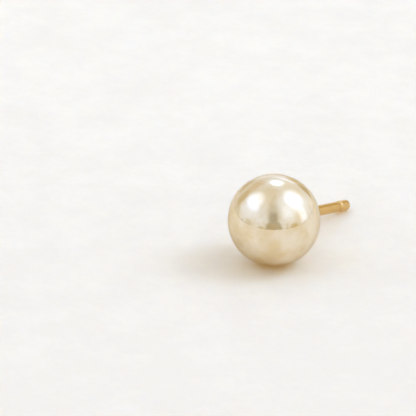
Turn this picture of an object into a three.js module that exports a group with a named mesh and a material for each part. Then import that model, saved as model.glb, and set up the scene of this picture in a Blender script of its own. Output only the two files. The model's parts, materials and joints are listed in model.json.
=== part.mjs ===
// A ball stud earring, lying on a table as it would by itself: on its ball and on the tip of its post.
// Millimetres, +Z up. The post points along +Y and down to the table, and the ball's front faces -Y.
// The origin is on the table, under the middle of the whole stud.

import * as THREE from "three";

// The ball: a hollow shell with one hole at its back
const BALL_DIAMETER = 8.0;
const BALL_WALL = 0.35;

// The post: a straight round wire, measured from the ball's back to the tip
const POST_DIAMETER = 0.95;
const POST_LENGTH = 9.7;
const TIP_ROUNDING = 0.25;

// The peg is the post's own end inside the ball, and the collar sits on the ball's back
const PEG_REACH = 1.6;
const PEG_CHAMFER = 0.1;
const COLLAR_DIAMETER = 2.0;
const COLLAR_HEIGHT = 0.25;
const COLLAR_EDGE = 0.06;
const SOLDER_FILLET = 0.15;

// The ring of cement that holds the ball on its peg and collar
const CEMENT_GAP = 0.05;

// The catch near the tip, where the ear nut clicks on: a notch, then a low rounded ridge
const CATCH_LENGTH = 2.3;
const NOTCH_DEPTH = 0.065;

// Rows from the shaft to the tip. from_tip is a share of CATCH_LENGTH, measured back from the tip's end.
// sunk is a share of NOTCH_DEPTH, measured inwards from the shaft's surface, so the ridge is below zero.
const CATCH_ROWS = [
  { from_tip: 1.0, sunk: 0 },
  { from_tip: 0.93, sunk: 0.1 },
  { from_tip: 0.86, sunk: 0.6 },
  { from_tip: 0.79, sunk: 1 },
  { from_tip: 0.72, sunk: 0.75 },
  { from_tip: 0.65, sunk: -0.05 },
  { from_tip: 0.59, sunk: -0.38 },
  { from_tip: 0.52, sunk: -0.3 },
  { from_tip: 0.46, sunk: -0.15 },
  { from_tip: 0.4, sunk: -0.15 },
];

// How finely the curves are cut into flat facets
const ROUND_SIDES = 40;
const QUARTER_STEPS = 10;
const CORNER_STEPS = 4;
const CATCH_STEPS = 18;

const BALL_RADIUS = BALL_DIAMETER / 2;
const POST_RADIUS = POST_DIAMETER / 2;
const CAVITY_RADIUS = BALL_RADIUS - BALL_WALL;
const TIP_END = BALL_RADIUS + POST_LENGTH;
const COLLAR_BACK = BALL_RADIUS + COLLAR_HEIGHT;

const BALL_GOLD = new THREE.MeshStandardMaterial({ color: 0xe6d3ab, metalness: 1, roughness: 0.12 });
const POST_GOLD = new THREE.MeshStandardMaterial({ color: 0xdcab58, metalness: 1, roughness: 0.22 });

// A profile point: its distance from the stud's axis, and how far behind the ball's centre it is.
function point(radius, along) {
  return new THREE.Vector2(radius, along);
}

// Points on a circle about a centre, from one angle to another. 0 points away from the axis and
// 90 degrees points along it, towards the tip.
function arc(centre, radius, fromAngle, toAngle, steps) {
  const points = [];
  for (let i = 0; i <= steps; i += 1) {
    const angle = fromAngle + ((toAngle - fromAngle) * i) / steps;
    points.push(point(centre.x + radius * Math.cos(angle), centre.y + radius * Math.sin(angle)));
  }
  return points;
}

// The angle at which a circle about the ball's centre comes within a given distance of the axis.
function angleAt(distance, circleRadius) {
  return Math.acos(distance / circleRadius);
}

// Turns a profile about the stud's axis. The corners between its facets lie on the true circle, and one
// row of them faces straight down, so the stud rests on the same line as a truly round one.
function turned(profile) {
  return new THREE.LatheGeometry(profile, ROUND_SIDES);
}

// A circle about the ball's centre, from the axis in front to the rim of the hole. Its widest ring has
// points of its own, so the ball measures its true diameter.
function shellArc(radius, holeRadius) {
  const centre = point(0, 0);
  const frontHalf = arc(centre, radius, -Math.PI / 2, 0, QUARTER_STEPS);
  const backHalf = arc(centre, radius, 0, angleAt(holeRadius, radius), QUARTER_STEPS);
  frontHalf[0].x = 0;
  return [...frontHalf, ...backHalf.slice(1)];
}

// The shell: over the outside from the front to the hole, then back along the inside.
function ballGeometry() {
  const holeRadius = POST_RADIUS + CEMENT_GAP;
  const outside = shellArc(BALL_RADIUS, holeRadius);
  const inside = shellArc(CAVITY_RADIUS, holeRadius).reverse();
  return turned([...outside, ...inside]);
}

// The peg's end inside the ball, with its corner taken off.
function pegProfile() {
  const end = BALL_RADIUS - PEG_REACH;
  return [
    point(0, end),
    point(POST_RADIUS - PEG_CHAMFER, end),
    point(POST_RADIUS, end + PEG_CHAMFER),
  ];
}

// The collar: dished in front to follow the ball, flat behind, and filleted into the shaft.
function collarProfile() {
  const collarRadius = COLLAR_DIAMETER / 2;
  const seatRadius = BALL_RADIUS + CEMENT_GAP;
  const seatFrom = angleAt(POST_RADIUS, seatRadius);
  const seatTo = angleAt(collarRadius - COLLAR_EDGE, seatRadius);
  const seat = arc(point(0, 0), seatRadius, seatFrom, seatTo, CORNER_STEPS);
  const rimFront = seat[seat.length - 1].y + COLLAR_EDGE;
  const filletCentre = point(POST_RADIUS + SOLDER_FILLET, COLLAR_BACK + SOLDER_FILLET);
  return [
    ...seat,
    point(collarRadius, rimFront),
    point(collarRadius, COLLAR_BACK - COLLAR_EDGE),
    point(collarRadius - COLLAR_EDGE, COLLAR_BACK),
    ...arc(filletCentre, SOLDER_FILLET, -Math.PI / 2, -Math.PI, CORNER_STEPS),
  ];
}

// The notch and ridge: a smooth curve through the rows of the catch.
function catchProfile() {
  const rows = CATCH_ROWS.map((row) =>
    point(POST_RADIUS - row.sunk * NOTCH_DEPTH, TIP_END - row.from_tip * CATCH_LENGTH),
  );
  return new THREE.SplineCurve(rows).getPoints(CATCH_STEPS);
}

// The tip's round corner and flat end.
function tipProfile(tipRadius) {
  const corner = point(tipRadius - TIP_ROUNDING, TIP_END - TIP_ROUNDING);
  return [...arc(corner, TIP_ROUNDING, 0, Math.PI / 2, CORNER_STEPS), point(0, TIP_END)];
}

function postGeometry() {
  const notchAndRidge = catchProfile();
  const tipRadius = notchAndRidge[notchAndRidge.length - 1].x;
  return turned([...pegProfile(), ...collarProfile(), ...notchAndRidge, ...tipProfile(tipRadius)]);
}

// How far the post leans down from level, so that the ball and the tip's round corner both touch the
// table: the line through the two contacts is a common tangent of the ball and of the corner's circle.
function restingLean() {
  const tipRadius = catchProfile().at(-1).x;
  const cornerAlong = TIP_END - TIP_ROUNDING;
  const cornerOut = tipRadius - TIP_ROUNDING;
  const cornerDistance = Math.hypot(cornerAlong, cornerOut);
  const drop = Math.asin((BALL_RADIUS - TIP_ROUNDING) / cornerDistance);
  return drop - Math.atan2(cornerOut, cornerAlong);
}

function piece(name, geometry, material) {
  const mesh = new THREE.Mesh(geometry, material);
  mesh.name = name;
  return mesh;
}

// Both pieces share the ball's centre and the stud's axis, and lean together.
const stud = new THREE.Group();
stud.add(piece("ball", ballGeometry(), BALL_GOLD));
stud.add(piece("ear_post", postGeometry(), POST_GOLD));
stud.rotation.x = -restingLean();

// Set down on the table, with the middle of the whole stud over the origin.
const reach = new THREE.Box3().setFromObject(stud, true);
stud.position.y = -(reach.min.y + reach.max.y) / 2;
stud.position.z = -reach.min.z;

const earring = new THREE.Group();
earring.add(stud);

export default earring;
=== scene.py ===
"""A ball stud earring lying on a pale sheet in a white studio, on its ball and on the tip of its post.

The stud's sizes are in millimetres, as in the CAD model. The scene is in metres.
"""

import json
import math

import bmesh
import bpy
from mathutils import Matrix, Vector


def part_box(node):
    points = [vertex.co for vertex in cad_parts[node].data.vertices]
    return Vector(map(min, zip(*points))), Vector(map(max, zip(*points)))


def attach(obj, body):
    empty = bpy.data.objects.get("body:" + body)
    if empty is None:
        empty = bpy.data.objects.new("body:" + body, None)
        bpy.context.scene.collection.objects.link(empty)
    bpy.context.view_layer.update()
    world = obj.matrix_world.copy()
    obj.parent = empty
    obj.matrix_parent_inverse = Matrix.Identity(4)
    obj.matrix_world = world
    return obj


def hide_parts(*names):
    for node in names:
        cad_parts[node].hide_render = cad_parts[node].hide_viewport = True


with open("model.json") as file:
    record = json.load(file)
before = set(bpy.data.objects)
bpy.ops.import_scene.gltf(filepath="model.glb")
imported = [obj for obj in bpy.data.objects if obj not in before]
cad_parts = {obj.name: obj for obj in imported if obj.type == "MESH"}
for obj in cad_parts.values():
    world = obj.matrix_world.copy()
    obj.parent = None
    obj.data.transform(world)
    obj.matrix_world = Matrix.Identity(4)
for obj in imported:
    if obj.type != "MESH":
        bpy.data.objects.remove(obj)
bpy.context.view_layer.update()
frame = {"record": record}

MM = 0.001

# The stud, in millimetres. Its ball's radius and its place come from the frame.
BALL_WALL = 0.35
POST_DIAMETER = 0.95
POST_LENGTH = 9.7
TIP_ROUNDING = 0.25
PEG_REACH = 1.6
PEG_CHAMFER = 0.1
COLLAR_DIAMETER = 2.0
COLLAR_HEIGHT = 0.25
COLLAR_EDGE = 0.06
SOLDER_FILLET = 0.15
CEMENT_GAP = 0.05
HOLE_EDGE = 0.04
CATCH_LENGTH = 2.3
NOTCH_DEPTH = 0.065

# The catch from the shaft to the tip: shares of its length back from the tip's end, and of the notch's
# depth inwards from the shaft.
CATCH_ROWS = [
    {"from_tip": 1.0, "sunk": 0.0},
    {"from_tip": 0.93, "sunk": 0.1},
    {"from_tip": 0.86, "sunk": 0.6},
    {"from_tip": 0.79, "sunk": 1.0},
    {"from_tip": 0.72, "sunk": 0.75},
    {"from_tip": 0.65, "sunk": -0.05},
    {"from_tip": 0.59, "sunk": -0.38},
    {"from_tip": 0.52, "sunk": -0.3},
    {"from_tip": 0.46, "sunk": -0.15},
    {"from_tip": 0.4, "sunk": -0.15},
]

# How finely the curves are cut
BALL_SIDES = 192
POST_SIDES = 96
BALL_STEPS = 96
CORNER_STEPS = 10
SHAFT_STEPS = 24
CATCH_STEPS = 72
SHARP_CORNER = math.radians(40)

# The camera, as the photograph was taken: its direction from the ball, and where the ball lies in the frame
VIEW_AZIMUTH = 29.1
VIEW_ELEVATION = 24.0
VIEW_DISTANCE = 0.3
NEAREST_SEEN = 0.03
FARTHEST_SEEN = 9.0
SENSOR_WIDTH = 36.0
FOCAL_LENGTH = 302.2
PHOTO_WIDTH = 416
BALL_IN_PHOTO = (274.1, 219.6)

FLOOR_REACH = 4.0

# Where most of a noise texture's values lie
NOISE_RANGE = (0.3, 0.7)

# The ball's plate. The scales of its patterns are per millimetre, and the shift moves its colour clouds so
# that their paler and warmer patches fall where the reflections look paler and more golden, as a painted
# reflection.
CLOUD_SCALE = 0.45
CLOUD_SHIFT_TO_REFLECTIONS = (102.2, 12.4, 4.8)
CLOUD_EDGES = (0.35, 0.65)
HAZE_SCALE = 1.6
POLISH_SCALES = (27.0, 3.9, 6.6)
POLISH_DEPTH = 0.002 * MM
POLISH_STRENGTH = 0.2
PLATE_ROUGHNESS = (0.03, 0.06)

# The post's wire. The scales of its drawn lines, its turned rings and its patina are per millimetre.
DRAWN_SCALES = (14.0, 14.0, 0.5)
RING_SCALES = (0.4, 0.4, 16.0)
PATINA_SCALE = 1.1
PATINA_EDGES = (0.5, 0.8)
MOST_PATINA = 0.6
WIRE_MARK_DEPTH = 0.003 * MM
WIRE_MARK_STRENGTH = 0.35
WIRE_ROUGHNESS = (0.08, 0.14)

# Where the turned rings and the paler gold begin and are full, as shares of the catch back from the tip.
# The paler gold is partly wear from the nut and partly a painted highlight on the catch's flank and the
# tip.
RINGS_REACH = (1.0, 0.9)
RUBBED_HIGHLIGHT_REACH = (0.85, 0.4)
MOST_RUBBED_HIGHLIGHT = 0.35

# The sheet: its mottling and tooth per metre, the way towards the camera along which painted shade darkens
# it, standing in for light falling off, and how far the change reaches
MOTTLING_SCALE = 140.0
MOST_MOTTLED = 0.8
TOOTH_SCALE = 1500.0
TOOTH_DEPTH = 0.05 * MM
TOOTH_STRENGTH = 0.6
PAINTED_SHADE_SIDE = (0.486, -0.874, 0.0)
PAINTED_SHADE_REACH = 0.05
MOST_PAINTED_SHADE = 0.65

# Linear colours
# The plate's two colours, mixed by clouds that partly stand in for paler and more golden reflections
# (painted reflection)
CHAMPAGNE = (0.88, 0.78, 0.615)
CHAMPAGNE_WARM = (0.80, 0.645, 0.405)
CHAMPAGNE_RIM = (0.84, 0.775, 0.67)
YELLOW_GOLD = (0.70, 0.455, 0.18)
YELLOW_GOLD_DEEP = (0.60, 0.355, 0.10)
# Paler gold towards the tip: partly wear from the nut, partly a painted highlight
YELLOW_GOLD_RUBBED_HIGHLIGHT = (0.80, 0.56, 0.26)
YELLOW_GOLD_RIM = (0.95, 0.86, 0.68)
PAPER = (0.705, 0.713, 0.643)
# The sheet's darker colour, used for painted shade towards the camera and for its mottling
PAPER_SHADED_AND_MOTTLED = (0.653, 0.657, 0.594)
PAPER_DEPTH = (0.0030, 0.0016, 0.0006)
# A glow painted into the sheet, which is no lamp: it lightens and warms the shadows round the stud
PAPER_PAINTED_GLOW = (0.155, 0.080, 0.005)

# The studio's light, as radiance by direction. The base colours go by elevation, in degrees.
BASE_LIGHT = [
    {"elevation": -90, "light": (0.88, 0.87, 0.86)},
    {"elevation": 0, "light": (0.88, 0.89, 0.87)},
    {"elevation": 6, "light": (0.88, 0.89, 0.90)},
    {"elevation": 25, "light": (0.88, 0.90, 0.94)},
    {"elevation": 90, "light": (0.89, 0.91, 0.96)},
]

# Soft patches laid over it, in order. Each has its centre, half its width and half its height in degrees,
# and the width of its soft edge as a share of those. A patch with a taper is narrower above and wider
# below. The azimuth is counted from the camera's side of the ball, to the camera's right.
LIGHT_PATCHES = [
    {"name": "glow round the left softbox", "azimuth": -70, "elevation": 45, "width": 50, "height": 28,
     "edge": 1.2, "light": (0.98, 1.05, 1.22)},
    {"name": "glow round the right softbox", "azimuth": 84, "elevation": 40, "width": 52, "height": 30,
     "edge": 1.2, "light": (1.03, 1.09, 1.20)},
    {"name": "back wall, left", "azimuth": -152, "elevation": 35, "width": 28, "height": 11,
     "edge": 1.0, "light": (0.80, 0.73, 0.61)},
    {"name": "warm corner, left", "azimuth": -127, "elevation": 19, "width": 11, "height": 13,
     "edge": 1.0, "light": (0.71, 0.63, 0.46)},
    {"name": "warm corner, right", "azimuth": 162, "elevation": 5, "width": 17, "height": 8,
     "edge": 1.0, "light": (0.83, 0.74, 0.52)},
    {"name": "dark corner, right", "azimuth": 150, "elevation": 9, "width": 7, "height": 9,
     "edge": 0.8, "light": (0.66, 0.56, 0.37)},
    {"name": "low light, right", "azimuth": 129, "elevation": 6, "width": 8, "height": 6,
     "edge": 1.0, "light": (1.02, 1.00, 0.98)},
    {"name": "low wall behind", "azimuth": -179, "elevation": 10, "width": 12, "height": 10,
     "edge": 0.9, "light": (1.04, 1.08, 1.20)},
    {"name": "glow round the rear softbox", "azimuth": 168, "elevation": 48, "width": 24, "height": 20,
     "edge": 1.2, "light": (1.00, 1.08, 1.24)},
    {"name": "bright strip behind, above", "azimuth": 164, "elevation": 27, "width": 9, "height": 2,
     "edge": 0.8, "light": (1.25, 1.45, 1.9)},
    {"name": "bright strip behind, below", "azimuth": 168, "elevation": 21.5, "width": 13, "height": 2,
     "edge": 0.8, "light": (1.25, 1.45, 1.9)},
    {"name": "left softbox", "azimuth": -87, "elevation": 50, "width": 29, "height": 17,
     "edge": 1.0, "light": (1.28, 1.50, 2.10)},
    {"name": "right softbox", "azimuth": 94, "elevation": 49, "width": 32, "height": 19,
     "edge": 1.0, "light": (1.35, 1.56, 2.10)},
    {"name": "right softbox, lamp", "azimuth": 95, "elevation": 47, "width": 18, "height": 11,
     "edge": 0.8, "light": (6.0, 6.7, 8.8)},
    {"name": "right window", "azimuth": 84, "elevation": 20, "width": 11, "height": 17,
     "edge": 1.1, "light": (1.30, 1.44, 1.90)},
    {"name": "rear softbox", "azimuth": 174, "elevation": 50, "width": 14, "height": 10,
     "edge": 0.7, "light": (1.5, 1.8, 2.5)},
    {"name": "pale reflector, left", "azimuth": -38, "elevation": 38, "width": 13, "height": 15,
     "edge": 1.4, "light": (0.93, 0.99, 1.16)},
    {"name": "pale reflector, right", "azimuth": 44, "elevation": 39, "width": 17, "height": 12,
     "edge": 1.3, "light": (1.09, 1.20, 1.42)},
    {"name": "low stand, left", "azimuth": -68, "elevation": 4, "width": 9, "height": 7,
     "edge": 1.0, "light": (0.79, 0.74, 0.64)},
    {"name": "low stand, right", "azimuth": 52, "elevation": 2, "width": 9, "height": 6,
     "edge": 1.0, "light": (0.77, 0.69, 0.50)},
    {"name": "low stand by the dark card", "azimuth": -31, "elevation": 1, "width": 6, "height": 4,
     "edge": 1.0, "light": (0.70, 0.65, 0.50)},
    {"name": "shade over the dark card", "azimuth": -3, "elevation": 46, "width": 22, "height": 32,
     "edge": 1.3, "light": (0.80, 0.80, 0.77)},
    {"name": "dark card, top", "azimuth": -3, "elevation": 43, "width": 14, "height": 18,
     "edge": 1.2, "light": (0.69, 0.67, 0.60)},
    {"name": "dark card, foot", "azimuth": 0, "elevation": 4, "width": 20, "height": 17,
     "edge": 0.4, "taper": 0.2, "light": (0.56, 0.52, 0.40)},
    {"name": "warm middle of the foot", "azimuth": -1, "elevation": 6, "width": 8, "height": 9,
     "edge": 1.2, "light": (0.60, 0.53, 0.40)},
    {"name": "dark card, middle", "azimuth": -2, "elevation": 29, "width": 12, "height": 13,
     "edge": 1.0, "light": (0.51, 0.48, 0.39)},
]

# How square the patches are: 2 makes ellipses, and more makes them squarer
PATCH_SQUARENESS = 3.0

# The far edge of the sheet: a dark line that wanders between two elevations and fades out at its sides, in
# degrees, and is fainter in some stretches
EDGE_COLOUR = (0.60, 0.52, 0.39)
EDGE_SCALE = 7.0
EDGE_WANDER = (-0.4, 1.8)
EDGE_FADE = (1.0, 0.2)
STRETCH_SCALE = 4.0
STRETCH_EDGES = (0.4, 0.6)
EDGE_STRENGTH = (0.15, 0.6)

# Smudges beyond it, which are gone above the first of two elevations and full below the second
SMUDGE_COLOUR = (0.70, 0.66, 0.57)
SMUDGE_STRETCH = (1.0, 1.0, 0.5)
SMUDGE_SCALE = 6.0
SMUDGE_EDGES = (0.5, 0.65)
SMUDGE_FADE = (20.0, 6.0)
MOST_SMUDGED = 0.7

# The colour ramp runs from straight down to straight up, in degrees
RAMP_SPAN = 180

# A Mix node's sockets, which share their names: the share, then the two values and the result of each kind
MIX_SHARE = 0
MIX_NUMBERS = (2, 3)
MIX_NUMBER_RESULT = 0
MIX_COLOURS = (6, 7)
MIX_COLOUR_RESULT = 2

# The stud's axis and its ball, from the frame
lowest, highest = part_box("ball")
ball_radius = (highest.x - lowest.x) / 2 / MM
tip_mount = next(mount for mount in frame["record"]["mounts"] if mount["name"] == "post_tip")
axis = Vector(tip_mount["axis"]).normalized()
side = Vector((1, 0, 0))
up = side.cross(axis)
ball_centre = Vector(tip_mount["pos_m"]) - axis * (ball_radius + POST_LENGTH) * MM


def in_frame(radius, along, angle):
    """A point of the stud in the row's frame, from its millimetres out from the axis and along it."""
    out = side * math.cos(angle) + up * math.sin(angle)
    return ball_centre + (axis * along + out * radius) * MM


def arc(centre, radius, start, end, steps):
    """Points on a circle in the profile's plane. Angle 0 points out from the axis, a quarter turn along."""
    turns = [start + (end - start) * i / steps for i in range(steps + 1)]
    return [(centre[0] + radius * math.cos(t), centre[1] + radius * math.sin(t)) for t in turns]


def smooth_through(points, steps):
    """A Catmull-Rom curve through the points."""
    found = []
    last = len(points) - 1
    for i in range(steps + 1):
        place = last * i / steps
        k = min(int(place), last - 1)
        t = place - k
        near = [points[max(0, min(last, k + j))] for j in (-1, 0, 1, 2)]
        found.append(tuple(catmull_rom(t, *values) for values in zip(*near)))
    return found


def catmull_rom(t, a, b, c, d):
    """The value between b and c at t, from 0 to 1."""
    v0 = (c - a) / 2
    v1 = (d - b) / 2
    return (2 * b - 2 * c + v0 + v1) * t**3 + (3 * c - 3 * b - 2 * v0 - v1) * t**2 + v0 * t + b


def shell_profile():
    """Over the outside from the front, round the hole's edge, and back along the inside."""
    hole = POST_DIAMETER / 2 + CEMENT_GAP
    cavity = ball_radius - BALL_WALL
    outer_stop = math.acos((hole + HOLE_EDGE) / ball_radius)
    inner_stop = math.acos(hole / cavity)
    outside = arc((0, 0), ball_radius, -math.pi / 2, outer_stop, BALL_STEPS)
    inside = arc((0, 0), cavity, inner_stop, -math.pi / 2, BALL_STEPS)
    edge_along = outside[-1][1] - HOLE_EDGE
    edge = arc((hole + HOLE_EDGE, edge_along), HOLE_EDGE, math.pi / 2, math.pi, CORNER_STEPS)
    outside[0] = (0, -ball_radius)
    inside[-1] = (0, -cavity)
    return outside + edge[1:] + inside


def post_profile():
    """The peg inside the ball, the collar, the shaft, the catch and the tip."""
    post = POST_DIAMETER / 2
    collar = COLLAR_DIAMETER / 2
    collar_back = ball_radius + COLLAR_HEIGHT
    peg_end = ball_radius - PEG_REACH
    seat = ball_radius + CEMENT_GAP
    seat_end = math.acos((collar - COLLAR_EDGE) / seat)
    seat_arc = arc((0, 0), seat, math.acos(post / seat), seat_end, CORNER_STEPS)
    back_edge = (collar - COLLAR_EDGE, collar_back - COLLAR_EDGE)
    fillet = (post + SOLDER_FILLET, collar_back + SOLDER_FILLET)
    tip_end = ball_radius + POST_LENGTH
    catch = [
        (post - row["sunk"] * NOTCH_DEPTH, tip_end - row["from_tip"] * CATCH_LENGTH)
        for row in CATCH_ROWS
    ]
    catch_curve = smooth_through(catch, CATCH_STEPS)
    shaft_start = fillet[1]
    shaft_end = catch[0][1]
    shaft = [
        (post, shaft_start + (shaft_end - shaft_start) * i / SHAFT_STEPS)
        for i in range(1, SHAFT_STEPS)
    ]
    corner = (catch_curve[-1][0] - TIP_ROUNDING, tip_end - TIP_ROUNDING)
    return [
        (0, peg_end),
        *arc((post - PEG_CHAMFER, peg_end + PEG_CHAMFER), PEG_CHAMFER, -math.pi / 2, 0, CORNER_STEPS),
        *seat_arc,
        (collar, seat_arc[-1][1] + COLLAR_EDGE),
        *arc(back_edge, COLLAR_EDGE, 0, math.pi / 2, CORNER_STEPS),
        *arc(fillet, SOLDER_FILLET, -math.pi / 2, -math.pi, CORNER_STEPS),
        *shaft,
        *catch_curve,
        *arc(corner, TIP_ROUNDING, 0, math.pi / 2, CORNER_STEPS),
        (0, tip_end),
    ]


def turned(name, profile, sides):
    """A closed solid turned about the stud's axis from a profile that starts and ends on it."""
    mesh = bmesh.new()
    rings = []
    for radius, along in profile:
        count = 1 if radius == 0 else sides
        angles = [2 * math.pi * k / sides for k in range(count)]
        rings.append([mesh.verts.new(in_frame(radius, along, angle)) for angle in angles])
    for ring, following in zip(rings, rings[1:]):
        for k in range(sides):
            corners = [ring[k % len(ring)], ring[(k + 1) % len(ring)]]
            corners += [following[(k + 1) % len(following)], following[k % len(following)]]
            mesh.faces.new(list(dict.fromkeys(corners)))
    bmesh.ops.recalc_face_normals(mesh, faces=mesh.faces)
    data = bpy.data.meshes.new(name)
    mesh.to_mesh(data)
    mesh.free()
    data.shade_smooth()
    data.set_sharp_from_angle(angle=SHARP_CORNER)
    piece = bpy.data.objects.new(name, data)
    bpy.context.scene.collection.objects.link(piece)
    return piece


def added(tree, kind, **settings):
    """A new node with its settings, and its inputs set or linked by name."""
    node = tree.nodes.new(kind)
    inputs = settings.pop("inputs", {})
    for key, value in settings.items():
        setattr(node, key, value)
    for key, value in inputs.items():
        if isinstance(value, bpy.types.NodeSocket):
            tree.links.new(value, node.inputs[key])
        else:
            node.inputs[key].default_value = value
    return node


def maths(tree, operation, *values):
    node = added(tree, "ShaderNodeMath", operation=operation, inputs=dict(enumerate(values)))
    return node.outputs[0]


def dot(tree, vector, fixed):
    node = added(tree, "ShaderNodeVectorMath", operation="DOT_PRODUCT", inputs={0: vector, 1: fixed})
    return node.outputs["Value"]


def eased(tree, value, low, high, to_low=0.0, to_high=1.0):
    """The value carried smoothly from one range to another."""
    inputs = {"Value": value, "From Min": low, "From Max": high, "To Min": to_low, "To Max": to_high}
    node = added(tree, "ShaderNodeMapRange", interpolation_type="SMOOTHSTEP", inputs=inputs)
    return node.outputs["Result"]


def mixed(tree, share, first, second):
    """A colour between two others. Each is a socket or a plain colour."""
    node = added(tree, "ShaderNodeMix", data_type="RGBA", inputs={MIX_SHARE: share})
    for key, value in zip(MIX_COLOURS, (first, second)):
        if isinstance(value, bpy.types.NodeSocket):
            tree.links.new(value, node.inputs[key])
        else:
            node.inputs[key].default_value = (*value, 1)
    return node.outputs[MIX_COLOUR_RESULT]


def mixed_numbers(tree, share, first, second):
    numbers = dict(zip(MIX_NUMBERS, (first, second)))
    node = added(tree, "ShaderNodeMix", inputs={MIX_SHARE: share, **numbers})
    return node.outputs[MIX_NUMBER_RESULT]


def noise(tree, where, scale, detail=3.0, roughness=0.5):
    inputs = {"Vector": where, "Scale": scale, "Detail": detail, "Roughness": roughness}
    return added(tree, "ShaderNodeTexNoise", inputs=inputs).outputs["Fac"]


def stretched(tree, where, scale):
    return added(tree, "ShaderNodeVectorMath", operation="MULTIPLY", inputs={0: where, 1: scale}).outputs[0]


def moved(tree, where, step):
    return added(tree, "ShaderNodeVectorMath", operation="ADD", inputs={0: where, 1: step}).outputs[0]


def stud_place(tree):
    """Where a point lies on the stud, in millimetres from the ball's centre, with Z along the axis."""
    coordinates = added(tree, "ShaderNodeTexCoord").outputs["Object"]
    inputs = {
        "Vector": coordinates,
        "Location": ball_centre,
        "Rotation": axis.to_track_quat("Z", "Y").to_euler(),
        "Scale": (MM, MM, MM),
    }
    return added(tree, "ShaderNodeMapping", vector_type="TEXTURE", inputs=inputs).outputs["Vector"]


def material(name):
    made = bpy.data.materials.new(name)
    made.use_nodes = True
    return made, made.node_tree, made.node_tree.nodes["Principled BSDF"]


def bumped(tree, height, depth, strength):
    inputs = {"Height": height, "Distance": depth, "Strength": strength}
    return added(tree, "ShaderNodeBump", inputs=inputs).outputs["Normal"]


def champagne_gold():
    """Polished plate: a mirror with a faint haze, a colour drift whose clouds partly stand in for paler and
    more golden reflections (painted reflection), and hair-fine polishing marks.
    """
    made, tree, shader = material("champagne_gold")
    where = stud_place(tree)
    clouds = noise(tree, moved(tree, where, CLOUD_SHIFT_TO_REFLECTIONS), CLOUD_SCALE, detail=4.0)
    # Painted reflection, in part: the paler and warmer clouds stand in for reflections
    drift_and_painted_reflection = eased(tree, clouds, *CLOUD_EDGES)
    haze = noise(tree, where, HAZE_SCALE, detail=4.0)
    marks = noise(tree, stretched(tree, where, POLISH_SCALES), 1.0, detail=2.0)
    shader.inputs["Metallic"].default_value = 1.0
    shader.inputs["Specular Tint"].default_value = (*CHAMPAGNE_RIM, 1)
    tree.links.new(mixed(tree, drift_and_painted_reflection, CHAMPAGNE, CHAMPAGNE_WARM), shader.inputs["Base Color"])
    tree.links.new(eased(tree, haze, *NOISE_RANGE, *PLATE_ROUGHNESS), shader.inputs["Roughness"])
    tree.links.new(bumped(tree, marks, POLISH_DEPTH, POLISH_STRENGTH), shader.inputs["Normal"])
    return made


def yellow_gold():
    """Drawn wire: fine lines along it, turned rings at the catch, and paler gold towards the tip, partly
    where the nut rubs and partly a painted highlight on the catch and the tip.
    """
    made, tree, shader = material("yellow_gold")
    where = stud_place(tree)
    along = added(tree, "ShaderNodeSeparateXYZ", inputs={0: where}).outputs["Z"]
    ring_places = [ball_radius + POST_LENGTH - share * CATCH_LENGTH for share in RINGS_REACH]
    rubbed_highlight_places = [ball_radius + POST_LENGTH - share * CATCH_LENGTH for share in RUBBED_HIGHLIGHT_REACH]
    drawn = noise(tree, stretched(tree, where, DRAWN_SCALES), 1.0)
    rings = noise(tree, stretched(tree, where, RING_SCALES), 1.0, detail=2.0)
    marks = mixed_numbers(tree, eased(tree, along, *ring_places), drawn, rings)
    patina = eased(tree, noise(tree, where, PATINA_SCALE), *PATINA_EDGES, 0.0, MOST_PATINA)
    # Partly wear, partly painted highlight: paler gold from the catch to the tip
    rubbed_highlight = eased(tree, along, *rubbed_highlight_places, 0.0, MOST_RUBBED_HIGHLIGHT)
    gold = mixed(tree, patina, YELLOW_GOLD, YELLOW_GOLD_DEEP)
    shader.inputs["Metallic"].default_value = 1.0
    shader.inputs["Specular Tint"].default_value = (*YELLOW_GOLD_RIM, 1)
    tree.links.new(mixed(tree, rubbed_highlight, gold, YELLOW_GOLD_RUBBED_HIGHLIGHT), shader.inputs["Base Color"])
    tree.links.new(eased(tree, marks, *NOISE_RANGE, *WIRE_ROUGHNESS), shader.inputs["Roughness"])
    tree.links.new(bumped(tree, marks, WIRE_MARK_DEPTH, WIRE_MARK_STRENGTH), shader.inputs["Normal"])
    return made


def paper():
    """A soft white sheet, with painted shade darker towards the camera standing in for light falling off,
    barely seen mottling, a fine tooth, and a faint painted glow that lightens and warms its shadows.
    """
    made, tree, shader = material("paper")
    where = added(tree, "ShaderNodeTexCoord").outputs["Object"]
    # Painted shade: the sheet is darker towards the camera, standing in for light falling off
    across = dot(tree, where, PAINTED_SHADE_SIDE)
    painted_falloff_shade = eased(tree, across, -PAINTED_SHADE_REACH, PAINTED_SHADE_REACH, 0.0, MOST_PAINTED_SHADE)
    mottling = noise(tree, where, MOTTLING_SCALE, detail=5.0, roughness=0.75)
    shade = maths(tree, "ADD", painted_falloff_shade, eased(tree, mottling, *NOISE_RANGE, 0.0, MOST_MOTTLED))
    tooth = noise(tree, where, TOOTH_SCALE)
    tree.links.new(mixed(tree, shade, PAPER, PAPER_SHADED_AND_MOTTLED), shader.inputs["Base Color"])
    shader.inputs["Roughness"].default_value = 0.9
    shader.inputs["Specular IOR Level"].default_value = 0.2
    shader.subsurface_method = "BURLEY"
    shader.inputs["Subsurface Weight"].default_value = 1.0
    shader.inputs["Subsurface Radius"].default_value = PAPER_DEPTH
    shader.inputs["Subsurface Scale"].default_value = 1.0
    # Painted light: the sheet glows a little to lighten and warm its shadows
    shader.inputs["Emission Color"].default_value = (*PAPER_PAINTED_GLOW, 1)
    shader.inputs["Emission Strength"].default_value = 1.0
    tree.links.new(bumped(tree, tooth, TOOTH_DEPTH, TOOTH_STRENGTH), shader.inputs["Normal"])
    return made


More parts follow.
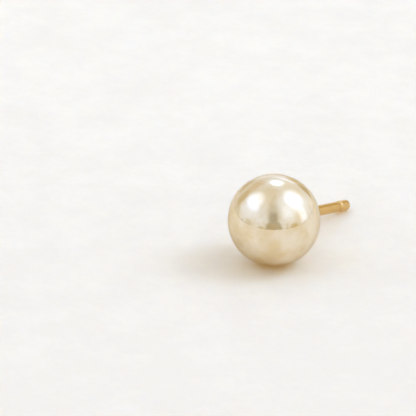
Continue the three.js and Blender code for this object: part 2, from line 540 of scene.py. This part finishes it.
def floor():
    data = bpy.data.meshes.new("floor")
    corners = [(x * FLOOR_REACH, y * FLOOR_REACH, 0) for x, y in ((-1, -1), (1, -1), (1, 1), (-1, 1))]
    data.from_pydata(corners, [], [(0, 1, 2, 3)])
    sheet = bpy.data.objects.new("floor", data)
    bpy.context.scene.collection.objects.link(sheet)
    data.materials.append(paper())


def patch_share(tree, direction, elevation, patch):
    """How far a direction lies inside a soft patch, from 0 outside to 1 inside."""
    turn = math.radians(VIEW_AZIMUTH + patch["azimuth"])
    ahead = dot(tree, direction, (math.sin(turn), -math.cos(turn), 0))
    beside = dot(tree, direction, (math.cos(turn), math.sin(turn), 0))
    aside = maths(tree, "DEGREES", maths(tree, "ARCTAN2", beside, ahead))
    above = maths(tree, "DIVIDE", maths(tree, "SUBTRACT", elevation, patch["elevation"]), patch["height"])
    narrowing = -patch.get("taper", 0) * patch["width"]
    across = maths(tree, "DIVIDE", aside, maths(tree, "MULTIPLY_ADD", above, narrowing, patch["width"]))
    sizes = [maths(tree, "ABSOLUTE", share) for share in (across, above)]
    powers = [maths(tree, "POWER", size, PATCH_SQUARENESS) for size in sizes]
    distance = maths(tree, "POWER", maths(tree, "ADD", *powers), 1 / PATCH_SQUARENESS)
    return eased(tree, distance, 1 + patch["edge"] / 2, 1 - patch["edge"] / 2)


def base_light(tree, elevation):
    """The walls, the ceiling and the far sheet."""
    place = maths(tree, "MULTIPLY_ADD", elevation, 1 / RAMP_SPAN, 0.5)
    ramp = added(tree, "ShaderNodeValToRGB", inputs={0: place})
    stops = ramp.color_ramp.elements
    while len(stops) < len(BASE_LIGHT):
        stops.new(0.5)
    for stop, row in zip(stops, BASE_LIGHT):
        stop.position = row["elevation"] / RAMP_SPAN + 0.5
        stop.color = (*row["light"], 1)
    return ramp.outputs["Color"]


def far_edge(tree, direction, elevation):
    """A thin line along the horizon that wanders up and down, and comes and goes."""
    middle = eased(tree, noise(tree, direction, EDGE_SCALE), *NOISE_RANGE, *EDGE_WANDER)
    away = maths(tree, "ABSOLUTE", maths(tree, "SUBTRACT", elevation, middle))
    strength = eased(tree, noise(tree, direction, STRETCH_SCALE), *STRETCH_EDGES, *EDGE_STRENGTH)
    return maths(tree, "MULTIPLY", eased(tree, away, *EDGE_FADE), strength)


def smudges(tree, direction, elevation):
    """Blurred things low on the walls."""
    pattern = noise(tree, stretched(tree, direction, SMUDGE_STRETCH), SMUDGE_SCALE)
    things = eased(tree, pattern, *SMUDGE_EDGES)
    low = eased(tree, elevation, *SMUDGE_FADE)
    return maths(tree, "MULTIPLY", maths(tree, "MULTIPLY", things, low), MOST_SMUDGED)


def studio_light():
    world = bpy.data.worlds.new("studio")
    world.use_nodes = True
    tree = world.node_tree
    direction = added(tree, "ShaderNodeTexCoord").outputs["Generated"]
    height = added(tree, "ShaderNodeSeparateXYZ", inputs={0: direction}).outputs["Z"]
    elevation = maths(tree, "DEGREES", maths(tree, "ARCSINE", height))
    light = base_light(tree, elevation)
    light = mixed(tree, smudges(tree, direction, elevation), light, SMUDGE_COLOUR)
    for patch in LIGHT_PATCHES:
        light = mixed(tree, patch_share(tree, direction, elevation, patch), light, patch["light"])
    light = mixed(tree, far_edge(tree, direction, elevation), light, EDGE_COLOUR)
    background = tree.nodes["Background"]
    tree.links.new(light, background.inputs["Color"])
    background.inputs["Strength"].default_value = 1.0
    bpy.context.scene.world = world


def camera():
    data = bpy.data.cameras.new("camera")
    data.sensor_width = SENSOR_WIDTH
    data.lens = FOCAL_LENGTH
    data.clip_start = NEAREST_SEEN
    data.clip_end = FARTHEST_SEEN
    eye = bpy.data.objects.new("camera", data)
    bpy.context.scene.collection.objects.link(eye)
    azimuth = math.radians(VIEW_AZIMUTH)
    elevation = math.radians(VIEW_ELEVATION)
    flat = Vector((math.sin(azimuth), -math.cos(azimuth), 0))
    back = flat * math.cos(elevation) + Vector((0, 0, math.sin(elevation)))
    right = Vector((math.cos(azimuth), math.sin(azimuth), 0))
    top = back.cross(right)
    eye.location = ball_centre + back * VIEW_DISTANCE
    metres_per_pixel = VIEW_DISTANCE * SENSOR_WIDTH / FOCAL_LENGTH / PHOTO_WIDTH
    across = (PHOTO_WIDTH / 2 - BALL_IN_PHOTO[0]) * metres_per_pixel
    upward = (BALL_IN_PHOTO[1] - PHOTO_WIDTH / 2) * metres_per_pixel
    aim = ball_centre + right * across + top * upward
    eye.rotation_euler = (eye.location - aim).to_track_quat("Z", "Y").to_euler()
    bpy.context.scene.camera = eye


def dressed(piece, node, finish):
    piece.data.materials.append(finish)
    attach(piece, "root")
    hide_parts(node)


dressed(turned("polished_ball", shell_profile(), BALL_SIDES), "ball", champagne_gold())
dressed(turned("gold_post", post_profile(), POST_SIDES), "ear_post", yellow_gold())

floor()
studio_light()
camera()
bpy.context.scene.view_settings.view_transform = "Standard"
